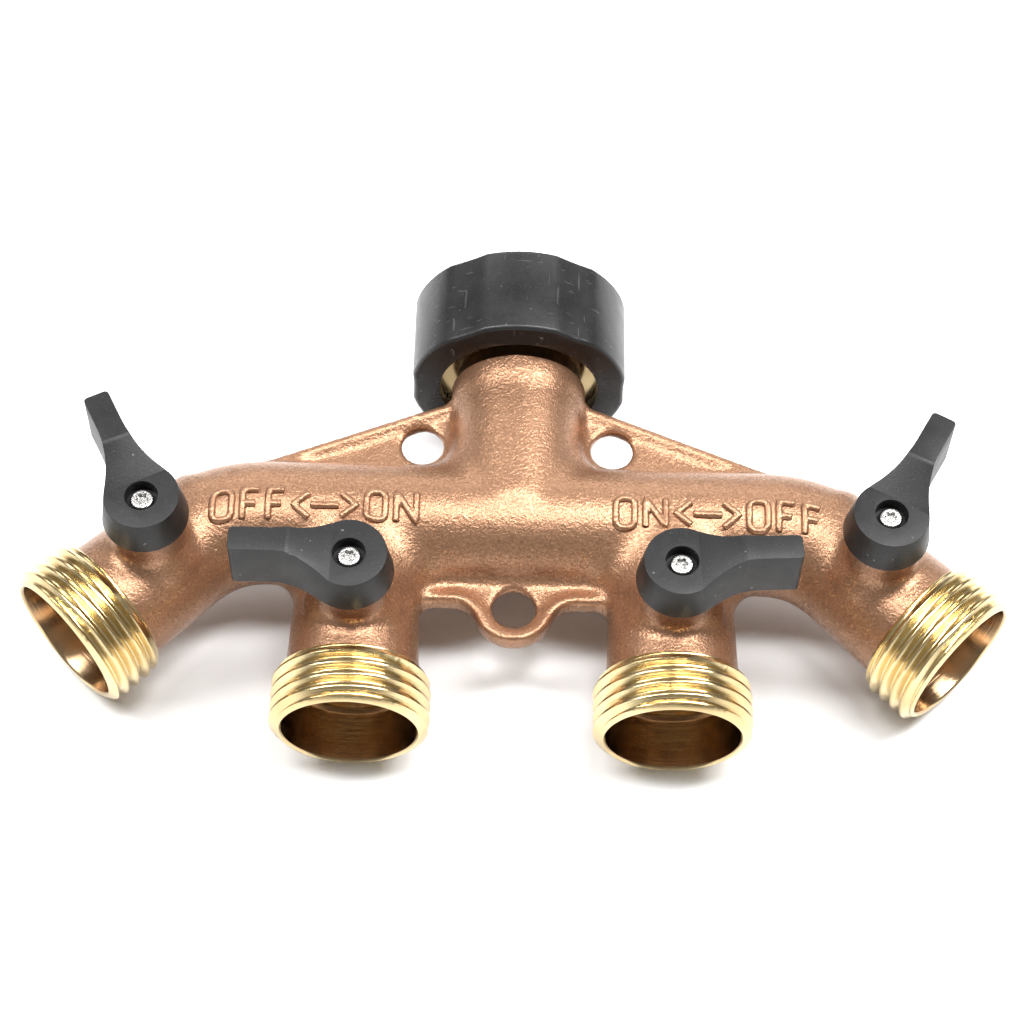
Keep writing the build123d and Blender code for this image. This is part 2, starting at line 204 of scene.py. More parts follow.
def block(name, low, high):
    """A box between two corners, in millimetres."""
    bpy.ops.mesh.primitive_cube_add(size=1)
    piece = bpy.context.object
    piece.name = piece.data.name = name
    low, high = Vector(low) * MM, Vector(high) * MM
    piece.location = (low + high) / 2
    piece.scale = high - low
    return settle(piece)


def slice_off(piece, point, normal):
    """Cut a piece with a plane, keep what lies behind the plane, and close the cut."""
    only(piece)
    edit(
        select_all,
        lambda: bpy.ops.mesh.bisect(
            plane_co=point, plane_no=normal, use_fill=True, clear_outer=True, threshold=1e-7
        ),
    )
    return piece


def join(name, *pieces):
    """Make several meshes one piece."""
    only(*pieces)
    bpy.ops.object.join()
    piece = bpy.context.object
    piece.name = piece.data.name = name
    return piece


def combine(piece, operation, *others, transfer=False):
    """Cut other pieces from a piece, or add or intersect them, and remove them."""
    for other in others:
        modify(
            piece,
            "BOOLEAN",
            operation=operation,
            object=other,
            solver="EXACT",
            material_mode="TRANSFER" if transfer else "INDEX",
        )
        bpy.data.objects.remove(other)
    return piece


def remesh(piece, voxel):
    """Fuse a piece's solids into one skin of even faces, this many millimetres across."""
    return modify(piece, "REMESH", mode="VOXEL", voxel_size=voxel * MM, use_smooth_shade=True)


def round_corners(piece, radius, voxel):
    """Fill the inward corners of a solid to a radius: swell it, fuse it and shrink it back."""
    remesh(piece, voxel)
    modify(piece, "DISPLACE", strength=radius * MM, mid_level=0.0)
    remesh(piece, voxel)
    modify(piece, "DISPLACE", strength=-radius * MM, mid_level=0.0)
    return remesh(piece, voxel)


def soften(piece, times):
    """Even out a skin."""
    return modify(piece, "SMOOTH", factor=0.5, iterations=times)


def smooth_by_angle(piece, angle=30):
    """Shade a piece smoothly, except across edges sharper than an angle."""
    only(piece)
    bpy.ops.object.shade_smooth_by_angle(angle=radians(angle))
    return piece


def declare(piece, body, slot, material, *nodes):
    """Say what a finished piece is made of, which body it rides on and which CAD nodes it stands for."""
    if material is not None:
        piece.data.materials.clear()
        piece.data.materials.append(material)
    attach(piece, body)
    if nodes:
        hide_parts(*nodes)


# Materials ------------------------------------------------------------------------------------
PREFIX = "look_"  # keeps these finishes apart from the CAD part's own materials


class Finish:
    """A node material that is built up from the shader back to the patterns that drive it."""

    def __init__(self, name, **sockets):
        self.material = bpy.data.materials.new(PREFIX + name)
        self.material.use_nodes = True
        self.tree = self.material.node_tree
        self.shader = self.tree.nodes["Principled BSDF"]
        self.place = self.node("ShaderNodeTexCoord").outputs["Object"]
        for socket, value in sockets.items():
            self.shader.inputs[socket.replace("_", " ").title()].default_value = value

    def node(self, kind, inputs=None, **settings):
        node = self.tree.nodes.new(kind)
        for setting, value in settings.items():
            setattr(node, setting, value)
        for socket, value in (inputs or {}).items():
            if isinstance(value, bpy.types.NodeSocket):
                self.tree.links.new(value, node.inputs[socket])
            else:
                node.inputs[socket].default_value = value
        return node

    def noise(self, scale, detail=2.0, roughness=0.5, vector=None, stretch=None):
        vector = vector or self.place
        if stretch:
            vector = self.node("ShaderNodeMapping", {"Vector": vector, "Scale": stretch}).outputs[0]
        return self.node(
            "ShaderNodeTexNoise",
            {"Vector": vector, "Scale": scale, "Detail": detail, "Roughness": roughness},
        ).outputs[0]

    def spread(self, value, low, high, to_low=0.0, to_high=1.0):
        """Map a value's range onto another, clamped."""
        return self.node(
            "ShaderNodeMapRange",
            {"Value": value, "From Min": low, "From Max": high, "To Min": to_low, "To Max": to_high},
        ).outputs[0]

    def blend(self, factor, first, second):
        node = self.node("ShaderNodeMix", data_type="RGBA")
        for socket, value in ((0, factor), (6, first), (7, second)):
            if isinstance(value, bpy.types.NodeSocket):
                self.tree.links.new(value, node.inputs[socket])
            elif socket:
                node.inputs[socket].default_value = (*value, 1)
            else:
                node.inputs[socket].default_value = value
        return node.outputs[2]

    def sum(self, first, second, operation="ADD"):
        return self.node("ShaderNodeMath", {0: first, 1: second}, operation=operation).outputs[0]

    def bumps(self, *layers):
        """Chain bump layers of (height, depth in metres, strength)."""
        normal = None
        for height, depth, strength in layers:
            inputs = {"Height": height, "Distance": depth, "Strength": strength}
            if normal is not None:
                inputs["Normal"] = normal
            normal = self.node("ShaderNodeBump", inputs).outputs[0]
        self.drive("Normal", normal)

    def drive(self, socket, value):
        self.tree.links.new(value, self.shader.inputs[socket])


def finish_named(name):
    return bpy.data.materials[PREFIX + name]


def cast_paint(colours):
    """Copper-bronze paint over a sand casting: coarse grain, sparkle and a few dark scuffs."""
    finish = Finish("cast_paint", metallic=0.7)
    grain = finish.noise(2300, 3, 0.6)
    lumps = finish.noise(800, 2, 0.5)
    broad = finish.noise(60, 3, 0.6)
    pits = finish.spread(finish.noise(900, 2, 0.5), 0.66, 0.78)
    stains = finish.spread(finish.noise(190, 4, 0.7), 0.66, 0.76)
    tone = finish.blend(finish.spread(grain, 0.3, 0.72), colours.paint_dark, colours.paint)
    tone = finish.blend(finish.spread(broad, 0.42, 0.75, 0.0, 0.35), tone, colours.paint_dark)
    tone = finish.blend(finish.sum(stains, 0.5, "MULTIPLY"), tone, colours.paint_scuff)
    tone = finish.blend(finish.sum(pits, 0.4, "MULTIPLY"), tone, colours.paint_scuff)
    finish.drive("Base Color", tone)
    finish.drive("Roughness", finish.spread(grain, 0.25, 0.75, 0.36, 0.24))
    finish.bumps((lumps, 0.0002, 0.45), (grain, 0.00017, 0.7))
    return finish.material


def turned_brass(colours, name="turned_brass", lines=True):
    """Bright brass, painted brown as shade where a piece says that it is inside a mouth, with the fine rings
    that a lathe leaves.
    """
    finish = Finish(name, metallic=1.0)
    smear = finish.noise(260, 3, 0.55)
    cloud = finish.noise(90, 2, 0.5)
    tone = finish.blend(finish.spread(cloud, 0.35, 0.7), colours.brass, colours.brass_dark)
    # Painted shade: where the mesh marks 'inside', the brass turns brown to stand in for the shade inside a
    # mouth
    inside = finish.node("ShaderNodeAttribute", attribute_name="inside").outputs["Fac"]
    tone = finish.blend(inside, tone, colours.brass_painted_shade)
    finish.drive("Base Color", tone)
    finish.drive("Roughness", finish.spread(smear, 0.3, 0.7, 0.13, 0.26))
    if lines:
        along = finish.node("ShaderNodeAttribute", attribute_name="turning").outputs["Fac"]
        rings = finish.node(
            "ShaderNodeTexNoise", {"W": along, "Scale": 5.0, "Detail": 3.0}, noise_dimensions="1D"
        ).outputs[0]
        finish.bumps((rings, 0.00005, 0.4), (smear, 0.00002, 0.12))
    else:
        finish.bumps((smear, 0.00003, 0.5))
    return finish.material


def moulded_plastic(colours, name, tone, rough, scratches):
    """Black moulded plastic: a fine skin, pale specks and dust, and scratches where it is handled."""
    finish = Finish(name)
    finish.shader.inputs["IOR"].default_value = 1.4
    skin = finish.noise(2600, 2, 0.5)
    cloud = finish.noise(170, 3, 0.6)
    specks = finish.spread(finish.noise(950, 1, 0.4), 0.77, 0.80)
    dust = finish.spread(finish.noise(3300, 2, 0.6), 0.62, 0.8)
    shade = finish.blend(finish.spread(cloud, 0.3, 0.7, 0.0, 0.5), tone, [c * 1.45 for c in tone])
    shade = finish.blend(finish.sum(dust, 0.12, "MULTIPLY"), shade, colours.plastic_speck)
    shade = finish.blend(finish.sum(specks, 0.35, "MULTIPLY"), shade, colours.plastic_speck)
    finish.drive("Roughness", finish.spread(cloud, 0.3, 0.7, rough - 0.05, rough + 0.08))
    layers = [(skin, 0.00005, 0.35), (finish.noise(120, 2, 0.5), 0.0005, 0.2)]
    if scratches:
        for stretch in ((1.0, 0.1, 0.35), (0.3, 1.0, 0.12), (0.12, 0.9, 0.3)):
            lines = finish.spread(finish.noise(1500, 1, 0.3, stretch=stretch), 0.74, 0.76)
            layers.append((lines, -0.00012, 0.8))
            shade = finish.blend(finish.sum(lines, 0.08, "MULTIPLY"), shade, colours.plastic_speck)
    finish.drive("Base Color", shade)
    finish.bumps(*layers)
    return finish.material


def plain_finish(name, tone, deep, scale, bump, **sockets):
    """A finish that varies a little between two tones, over a pattern's scale, with bumps this deep."""
    finish = Finish(name, **sockets)
    cloud = finish.noise(scale, 3, 0.55)
    finish.drive("Base Color", finish.blend(finish.spread(cloud, 0.35, 0.7), tone, deep))
    rough = sockets.get("roughness", 0.4)
    finish.drive("Roughness", finish.spread(cloud, 0.3, 0.7, rough * 0.85, rough * 1.2))
    finish.bumps((finish.noise(scale * 6, 2, 0.5), bump, 0.4))
    return finish.material


# Sizes and colours that a user would change ---------------------------------------------------
def colour(name, description, default):
    return FloatVectorProperty(
        name=name, description=description, default=default, subtype="COLOR", min=0, max=1
    )


def length(name, description, millimetres):
    return FloatProperty(
        name=name, description=description, default=millimetres * MM, unit="LENGTH", precision=5
    )


class SplitterColours(bpy.types.PropertyGroup):
    paint: colour("Paint", "Copper-bronze paint on the casting", (0.48, 0.27, 0.16))
    paint_dark: colour("Paint, dark", "The paint's darker grain", (0.235, 0.118, 0.064))
    paint_scuff: colour("Paint, scuffed", "Where the paint is rubbed or stained", (0.13, 0.075, 0.045))
    brass: colour("Brass", "Machined brass", (0.76, 0.61, 0.34))
    brass_dark: colour("Brass, tarnished", "Machined brass that has dulled", (0.56, 0.42, 0.21))
    lever: colour("Levers", "Black plastic of the levers", (0.009, 0.009, 0.0095))
    nut: colour("Nut", "Black plastic of the union nut", (0.014, 0.014, 0.0145))
    # Painted shade: this brown stands in for the shade inside a mouth
    brass_painted_shade: colour("Brass, inside", "Brass inside a mouth, dull and brown", (0.42, 0.29, 0.17))
    plastic_speck: colour("Specks", "Pale specks and dust on the plastic", (0.36, 0.36, 0.36))
    floor: colour("Floor", "The plain floor", (0.90, 0.90, 0.90))


class SplitterSizes(bpy.types.PropertyGroup):
    tube_radius: length("Tube radius", "Radius of the manifold tube", 10.7)
    neck_radius: length("Neck radius", "Radius of the neck", 11.5)
    crotch_radius: length("Crotch radius", "How round the corners between the tubes are", 4.5)
    web_radius: length("Web corner radius", "How round the corners at the webs and bosses are", 0.9)
    skin: length("Casting mesh", "Size of a face on the casting", 0.52)
    thread_radius: length("Thread radius", "Radius at the crests of the hose threads", 13.3)
    thread_pitch: length("Thread pitch", "Distance from one crest to the next", 25.4 / 11.5)
    lettering_relief: length("Lettering relief", "How far the raised letters stand out", 0.8)
    lever_bevel: length("Lever edge", "How round the levers' edges are", 0.28)


# Operators ------------------------------------------------------------------------------------
class SplitterOperator:
    bl_options = {"REGISTER", "UNDO"}

    @property
    def sizes(self):
        return bpy.context.scene.splitter_sizes

    @property
    def colours(self):
        return bpy.context.scene.splitter_colours


class MESH_OT_splitter_finishes(SplitterOperator, bpy.types.Operator):
    """Make every finish, and give the CAD pieces that stay in sight theirs"""

    bl_idname = "mesh.splitter_finishes"
    bl_label = "Finishes"

    def execute(self, context):
        colours = self.colours
        cast_paint(colours)
        turned_brass(colours)
        plain = turned_brass(colours, "plain_brass", lines=False)
        moulded_plastic(colours, "lever_plastic", list(colours.lever), rough=0.44, scratches=False)
        moulded_plastic(colours, "nut_plastic", list(colours.nut), rough=0.30, scratches=True)
        # Brass painted dark as shade, for the drilled waterways and for the spigot in the nut's shadow
        plain_finish(
            "painted_shade_brass", (0.10, 0.055, 0.03), (0.05, 0.028, 0.016), 300, 0.00004, metallic=0.8, roughness=0.5
        )
        chrome = plain_finish(
            "ball_chrome", (0.60, 0.60, 0.61), (0.42, 0.42, 0.44), 160, 0.00001, metallic=1.0, roughness=0.12
        )
        seat = plain_finish(
            "seat_plastic", (0.80, 0.80, 0.78), (0.72, 0.71, 0.68), 240, 0.00003, roughness=0.45
        )
        rubber = plain_finish(
            "seal_rubber", (0.025, 0.025, 0.026), (0.045, 0.045, 0.045), 300, 0.00005, roughness=0.65
        )
        zinc = plain_finish(
            "screw_zinc", (0.62, 0.61, 0.59), (0.25, 0.24, 0.23), 1300, 0.00012, metallic=1.0, roughness=0.28
        )
        spring = plain_finish(
            "spring_steel", (0.42, 0.42, 0.42), (0.30, 0.30, 0.31), 400, 0.00002, metallic=1.0, roughness=0.3
        )
        kinds = (
            ("_ball", chrome),
            ("_seat", seat),
            ("_gland", plain),
            ("_stem_rings", rubber),
            ("_stem", plain),
            ("_lever_screw", zinc),
            ("nut_insert", plain),
            ("inlet_washer", rubber),
            ("nut_snap_ring", spring),
        )
        for name, node in frame["nodes"].items():
            for ending, material in kinds:
                if name.endswith(ending):
                    node.data.materials.clear()
                    node.data.materials.append(material)
        return {"FINISHED"}


# The casting: distances are from the middle of the manifold, x along it, y to the tap, z up
ELBOW_RADIUS = 20.0
ELBOW_START = 43.116  # where the straight tube ends
TUBE_RUN = 27.0  # from a corner of the manifold to the end of its tube
NECK_FLARE = (23.9, 25.6)  # where the neck widens
NECK_SHOULDER = 28.4
BOSS = [(0, 0), (0, 8.3), (8.4, 8.3), (11.8, 5.8), (17.8, 5.8), (17.8, 0)]
WEB, BEAD = 1.8, 4.2  # thickness of a web, and of its rim
BEAD_WIDTH = 1.5
WEB_ROOT = 7.0  # webs start inside the tubes' walls
WEB_TOP, WEB_OUT = (9.2, 26.2), (47.4, 10.5)
LOWER_WEB_Y, LOWER_WEB_HALF = -15.5, 17.0
EAR_Y, EAR_R, EAR_FILLET = -16.1, 6.8, 3.6
HOLE_R = 3.7
UPPER_HOLE = (16.75, 16.2)
BULK_VOXEL = 0.62  # size of a face while the tubes' crotches are rounded

# Waterways, as (distance, radius) outlines
NECK_BORE_R, RUN_BORE_R, RUN_BORE_END = 8.5, 8.2, 49.4
CHAMBER = [(0, 0), (0, 8.9), (26.8, 8.9), (26.8, 5.5), (34, 5.5), (34, 0)]
STEM_WAY = [(0, 0), (0, 3.8), (9.9, 3.8), (9.9, 3.05), (20, 3.05), (20, 0)]


def manifold_run(name, radius, end):
    """The manifold tube with its two elbows, extruded and spun from one circle."""
    bpy.ops.mesh.primitive_circle_add(vertices=72, radius=radius * MM, fill_type="NGON")
    piece = bpy.context.object
    piece.name = piece.data.name = name
    lean = radians(45)
    corner = Vector((OUTER_CORNER, 0, 0)) * MM
    along = Vector((sin(lean), -cos(lean), 0))
    start = Vector((-corner.x, 0, 0)) + Vector((-along.x, along.y, 0)) * end * MM
    settle(piece, Matrix.Translation(start) @ Matrix.Rotation(lean, 4, "Z") @ ALONG_X)
    tangent = OUTER_CORNER - ELBOW_START
    straight = Vector((sin(lean), cos(lean), 0)) * (end - tangent) * MM

    def pull(move):
        return lambda: bpy.ops.mesh.extrude_region_move(TRANSFORM_OT_translate={"value": move})

    def bend(centre_x):
        return lambda: bpy.ops.mesh.spin(
            steps=14, angle=lean, center=(centre_x * MM, -ELBOW_RADIUS * MM, 0), axis=(0, 0, 1)
        )

    only(piece)
    edit(
        select_all,
        pull(straight),
        bend(-ELBOW_START),
        pull(Vector((2 * ELBOW_START * MM, 0, 0))),
        bend(ELBOW_START),
        pull(Vector((straight.x, -straight.y, 0))),
        merge_doubles,
        face_outwards,
    )
    return piece


def plate(name, points, thickness):
    """A flat plate with an outline of (x, y) points, as thick either side of the middle."""
    piece = outline_ring(name, points)
    settle(piece, Matrix.Rotation(radians(90), 4, "X").inverted())
    only(piece)
    edit(
        select_all,
        lambda: bpy.ops.transform.translate(value=(0, 0, -thickness / 2 * MM)),
        bpy.ops.mesh.edge_face_add,
        lambda: bpy.ops.mesh.extrude_region_move(TRANSFORM_OT_translate={"value": (0, 0, thickness * MM)}),
        face_outwards,
    )
    return piece


def lower_edge():
    """The lower web's edge from left to right: straight, round the ear with a curve either side, straight."""
    down = EAR_FILLET + EAR_Y - LOWER_WEB_Y
    across = sqrt((EAR_R + EAR_FILLET) ** 2 - down**2)
    turn = degrees(atan2(-down, across))
    left = arc((-across, LOWER_WEB_Y - EAR_FILLET), EAR_FILLET, 90, -turn, 10)
    ear = arc((0, EAR_Y), EAR_R, 180 - turn, 360 + turn, 28)
    right = arc((across, LOWER_WEB_Y - EAR_FILLET), EAR_FILLET, 180 + turn, 90, 10)
    return [(-LOWER_WEB_HALF, LOWER_WEB_Y), *left, *ear[1:-1], *right, (LOWER_WEB_HALF, LOWER_WEB_Y)]


def inset(points, distance):
    """Move an open line's points sideways, to the left of the way it runs."""
    moved = []
    for i, point in enumerate(points):
        before, after = Vector(points[max(i - 1, 0)]), Vector(points[min(i + 1, len(points) - 1)])
        way = (after - before).normalized()
        moved.append((point[0] - way.y * distance, point[1] + way.x * distance))
    return moved


class MESH_OT_splitter_casting(SplitterOperator, bpy.types.Operator):
    """Model the painted casting: manifold, elbows, neck, outlets, valve bosses and webs"""

    bl_idname = "mesh.splitter_casting"
    bl_label = "Casting"

    def execute(self, context):
        sizes = self.sizes
        skin = sizes.skin / MM
        tube, neck = sizes.tube_radius / MM, sizes.neck_radius / MM
        parts = [manifold_run("run", tube, TUBE_RUN)]
        neck_outline = [(0, 0), (0, neck), (NECK_FLARE[0], neck), (NECK_FLARE[1], neck + 0.5)]
        neck_outline += [(NECK_SHOULDER + 1.6, neck + 0.5), (NECK_SHOULDER + 1.6, 0)]
        parts.append(lathe("neck", neck_outline, place=ALONG_NECK))
        for name in OUTLETS:
            place = Matrix.Translation(-AXIS) @ outlet_place(name)
            reach = OUTLETS[name][3]
            outline = [(8, 0), (8, 11.2), (10.4, 11.2), (26, tube - 0.1), (reach, tube - 0.1), (reach, 0)]
            parts.append(lathe("tube", outline, place=place))
        body = join("cast_body", *parts)
        round_corners(body, sizes.crotch_radius / MM, BULK_VOXEL)

        parts = [body]
        for name in OUTLETS:
            parts.append(lathe("boss", BOSS, place=Matrix.Translation(-AXIS) @ valve_place(name) @ UPRIGHT))
        for side in (-1, 1):
            slope = [WEB_TOP, WEB_OUT]
            root = WEB_TOP[0] - 3  # inside the neck
            web = [*slope, (WEB_OUT[0], WEB_ROOT), (root, WEB_ROOT), (root, WEB_TOP[1])]
            bead = [*slope, *reversed(inset(slope, -BEAD_WIDTH))]
            parts.append(plate("web", [(side * x, y) for x, y in web], WEB))
            parts.append(plate("bead", [(side * x, y) for x, y in bead], BEAD))
        edge = lower_edge()
        parts.append(plate("web", [*edge, (LOWER_WEB_HALF, -WEB_ROOT), (-LOWER_WEB_HALF, -WEB_ROOT)], WEB))
        parts.append(plate("bead", [*edge, *reversed(inset(edge, BEAD_WIDTH))], BEAD))
        body = join("cast_body", *parts)
        round_corners(body, sizes.web_radius / MM, skin)
        for x, y in ((-UPPER_HOLE[0], UPPER_HOLE[1]), UPPER_HOLE, (0, EAR_Y)):
            hole = drum("hole", HOLE_R, -6, 6, 64, place=Matrix.Translation((x * MM, y * MM, 0)) @ UPRIGHT)
            combine(body, "DIFFERENCE", hole)
        remesh(body, skin)
        soften(body, 5)
        settle(body, Matrix.Translation(AXIS))

        # Machined ends
        slice_off(body, AXIS + Vector((0, NECK_SHOULDER * MM, 0)), (0, 1, 0))
        for name in ("outer_left", "inner_left", "outer_right"):  # one cut squares both inner outlets
            place = outlet_place(name)
            outward = place.to_3x3() @ Vector((-1, 0, 0))
            slice_off(body, place @ Vector((THREAD_END * MM, 0, 0)), outward)

        # Waterways, drilled, in brass painted dark as shade
        body.data.materials.clear()
        body.data.materials.append(finish_named("cast_paint"))
        neck_bore = drum("bore", NECK_BORE_R, -1, 40, place=Matrix.Translation(AXIS) @ ALONG_NECK)
        run_bore = drum("bore", RUN_BORE_R, -RUN_BORE_END, RUN_BORE_END, place=Matrix.Translation(AXIS))
        drills = [neck_bore, run_bore]
        for name in OUTLETS:
            drills.append(lathe("bore", CHAMBER, place=outlet_place(name)))
            drills.append(lathe("bore", STEM_WAY, 48, place=valve_place(name) @ UPRIGHT))
        for drill in drills:
            drill.data.materials.clear()
            drill.data.materials.append(finish_named("painted_shade_brass"))
        combine(body, "DIFFERENCE", *drills, transfer=True)
        smooth_by_angle(body, 40)
        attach(body, "manifold")
        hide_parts("manifold_body")
        return {"FINISHED"}


THREAD_ROOT_R = 12.1
RIDGE_FOOT, RIDGE_LAND = 0.95, 0.2  # half the width of a thread's ridge at its foot and at its crest
THREAD_TURNS = 8
THREAD_SHIFT = -1.75  # in pitches: where the blank lies against the mouth
PAINTED_SHADE_R = 11.3  # brass nearer the axis than this is inside a mouth, and is painted brown as shade

# A threaded end, cut down from the blank: round its lip, over the crests, and back along its bore
THREADED_END = [
    (0.35, 11.2), (0.0, 11.55), (0.0, 11.75), (0.25, 12.15), (0.75, 12.9), (1.2, 13.35), (8.6, 13.35),
    (9.3, 12.9), (9.9, 12.6), (10.4, 12.0), (10.4, 8.9), (8.6, 8.9), (8.6, 10.6), (8.4, 10.65), (4.0, 11.0),
]

# The spigot that the nut hangs on, with its groove for the snap ring
SPIGOT = [
    (28.4, 8.5), (28.4, 10.92), (33.05, 10.92), (33.05, 10.05), (34.15, 10.05), (34.15, 10.92),
    (34.6, 10.92), (35.0, 10.52), (35.0, 8.5),
]


def thread_blank(pitch, root, crest, turns):
    """A solid rod along x with a right-handed thread, made with the Screw modifier."""
    middle = pitch / 2
    outline = [(0, root), (middle - RIDGE_FOOT, root), (middle - RIDGE_LAND, crest)]
    outline += [(middle + RIDGE_LAND, crest), (middle + RIDGE_FOOT, root), (pitch, root)]
    bpy.ops.mesh.primitive_plane_add(size=MM)
    piece = bpy.context.object
    piece.name = piece.data.name = "thread_blank"
    only(piece)
    edit(select_all, lambda: bpy.ops.mesh.merge(type="CENTER"))
    piece.data.vertices[0].co = (outline[0][1] * MM, 0, outline[0][0] * MM)
    bpy.ops.object.mode_set(mode="EDIT")
    select_all()
    for (z0, r0), (z1, r1) in zip(outline, outline[1:]):
        bpy.ops.mesh.extrude_region_move(
            TRANSFORM_OT_translate={"value": ((r1 - r0) * MM, 0, (z1 - z0) * MM)}
        )
    bpy.ops.object.mode_set(mode="OBJECT")
    modify(
        piece,
        "SCREW",
        angle=2 * pi,
        screw_offset=pitch * MM,
        iterations=turns,
        steps=128,
        render_steps=128,
        axis="Z",
        use_merge_vertices=True,
        merge_threshold=1e-6,
    )
    only(piece)
    edit(merge_doubles)
    for height, normal in ((1.3 * pitch, -1), ((turns - 0.3) * pitch, 1)):
        slice_off(piece, (0, 0, height * MM), (0, 0, normal))
    only(piece)
    edit(merge_doubles, face_outwards)
    return settle(piece, ALONG_X)


class MESH_OT_splitter_outlets(SplitterOperator, bpy.types.Operator):
    """Model the four machined hose threads, with their mouths, and the spigot inside the nut"""

    bl_idname = "mesh.splitter_outlets"
    bl_label = "Outlets"

    def execute(self, context):
        pitch, crest = self.sizes.thread_pitch / MM, self.sizes.thread_radius / MM
        blank = thread_blank(pitch, THREAD_ROOT_R, crest, THREAD_TURNS)
        settle(blank, Matrix.Translation((THREAD_SHIFT * pitch * MM, 0, 0)))
        combine(blank, "INTERSECT", lathe("threaded_end", THREADED_END, 128))
        patterns = blank.data.attributes
        for name in ("turning", "inside"):
            patterns.new(name, "FLOAT", "POINT")
        # The 'inside' mark says where shade is painted: on the brass inside a mouth
        for vertex, ring, shaded in zip(blank.data.vertices, patterns["turning"].data, patterns["inside"].data):
            away = hypot(vertex.co.y, vertex.co.z) / MM
            ring.value = vertex.co.x / MM + away
            shaded.value = 1.0 if away < PAINTED_SHADE_R else 0.0
        modify(blank, "BEVEL", width=0.07 * MM, segments=2, limit_method="ANGLE", angle_limit=radians(28))
        smooth_by_angle(blank, 32)
        for name in OUTLETS:
            only(blank)
            bpy.ops.object.duplicate(linked=False)
            piece = bpy.context.object
            piece.name = piece.data.name = f"{name}_thread"
            settle(piece, outlet_place(name))
            declare(piece, "manifold", "turned_brass", finish_named("turned_brass"), "manifold_body")
        bpy.data.objects.remove(blank)

        piece = lathe("nut_spigot", SPIGOT, place=Matrix.Translation(AXIS) @ ALONG_NECK)
        smooth_by_angle(piece)
        # The spigot gets brass painted dark, standing in for the shade under the nut
        declare(piece, "manifold", "turned_brass", finish_named("painted_shade_brass"), "manifold_body")
        return {"FINISHED"}


# Each raised sign: how wide it is, and the middle lines of its strokes, in millimetres
TALL = 2.62  # from the middle of a sign to its top stroke
CURL = 1.15  # radius of a round stroke
STROKE = 0.66  # half the width of a stroke
STEP = 0.5  # the longest piece of a stroke that is bent over the tube
SKIN = 0.17  # size of a face on the signs
SIGNS = {
    "O": (
        4.4,
        [
            arc((3.8 - CURL, TALL - CURL), CURL, 90, 0, 4)
            + arc((3.8 - CURL, CURL - TALL), CURL, 0, -90, 4)
            + arc((0.6 + CURL, CURL - TALL), CURL, -90, -180, 4)
            + arc((0.6 + CURL, TALL - CURL), CURL, 180, 90, 4)
            + [(3.8 - CURL, TALL)]
        ],
    ),
    "F": (3.7, [[(0.6, -TALL), (0.6, TALL), (3.3, TALL)], [(0.6, 0.1), (2.8, 0.1)]]),
    "N": (4.6, [[(0.6, -TALL), (0.6, TALL), (4.0, -TALL), (4.0, TALL)]]),
    "<": (3.6, [[(3.1, 2.2), (0.5, 0), (3.1, -2.2)]]),
    "-": (3.2, [[(-0.9, 0), (4.1, 0)]]),
    ">": (3.6, [[(0.5, 2.2), (3.1, 0), (0.5, -2.2)]]),
}
LEGEND_LEAN = radians(13)  # how far the line of signs lies round the tube, towards the outlets
LEGEND_BEND = 0.6  # how much of an elbow's bend the line of signs follows
LEGENDS = (("left", "OFF<->ON", -52.0, -16.3), ("right", "ON<->OFF", 16.3, 52.0))


def strokes_of(signs, start, end):
    """The strokes of a row of signs that are spread evenly from start to end."""
    gap = (end - start - sum(SIGNS[sign][0] for sign in signs)) / (len(signs) - 1)
    strokes, x = [], start
    for sign in signs:
        wide, lines = SIGNS[sign]
        for line in lines:
            strokes.append([(x + u, v) for u, v in line])
        x += wide + gap
    return strokes


def divide(stroke):
    """Add points to a stroke so that no piece of it is much longer than a step."""
    points = []
    for (x0, v0), (x1, v1) in zip(stroke, stroke[1:]):
        count = max(1, round(hypot(x1 - x0, v1 - v0) / STEP))
        points += [(x0 + (x1 - x0) * i / count, v0 + (v1 - v0) * i / count) for i in range(count)]
    return [*points, stroke[-1]]


def on_casting(body, x, v, radius):
    """Where a sign's point lies on the casting, from the middle of the manifold, in millimetres."""
    bend = max(abs(x) - ELBOW_START, 0.0)
    y = -radius * sin(LEGEND_LEAN - v / radius)
    y -= LEGEND_BEND * (ELBOW_RADIUS - sqrt(ELBOW_RADIUS**2 - bend**2))
    above = Vector((x * MM, y * MM, 0)) + AXIS + Vector((0, 0, 0.05))
    return x, y, (body.ray_cast(above, (0, 0, -1))[1] - AXIS).z / MM


class MESH_OT_splitter_lettering(SplitterOperator, bpy.types.Operator):
    """Model the raised words that say which way each pair of levers opens"""

    bl_idname = "mesh.splitter_lettering"
    bl_label = "Lettering"

    def execute(self, context):
        body = bpy.data.objects["cast_body"]
        radius = self.sizes.tube_radius / MM
        relief = self.sizes.lettering_relief / MM
        for name, signs, start, end in LEGENDS:
            pieces = []
            for stroke in strokes_of(signs, start, end):
                bpy.ops.curve.primitive_nurbs_path_add()
                piece = bpy.context.object
                curve = piece.data
                curve.splines.clear()
                points = divide(stroke)
                spline = curve.splines.new("POLY")
                spline.points.add(len(points) - 1)
                for point, (across, v) in zip(spline.points, points):
                    x, y, z = on_casting(body, across, v, radius)
                    point.co = (x * MM, y * MM, (z + relief - STROKE) * MM, 1)
                curve.dimensions = "3D"
                curve.bevel_depth = STROKE * MM
                curve.bevel_resolution = 4
                curve.use_fill_caps = True
                only(piece)
                bpy.ops.object.convert(target="MESH")
                pieces.append(bpy.context.object)
            legend = join(f"{name}_lettering", *pieces)
            remesh(legend, SKIN)
            soften(legend, 4)
            settle(legend, Matrix.Translation(AXIS))
            smooth_by_angle(legend, 80)
            declare(legend, "manifold", "cast_body", finish_named("cast_paint"), "manifold_body")
        return {"FINISHED"}


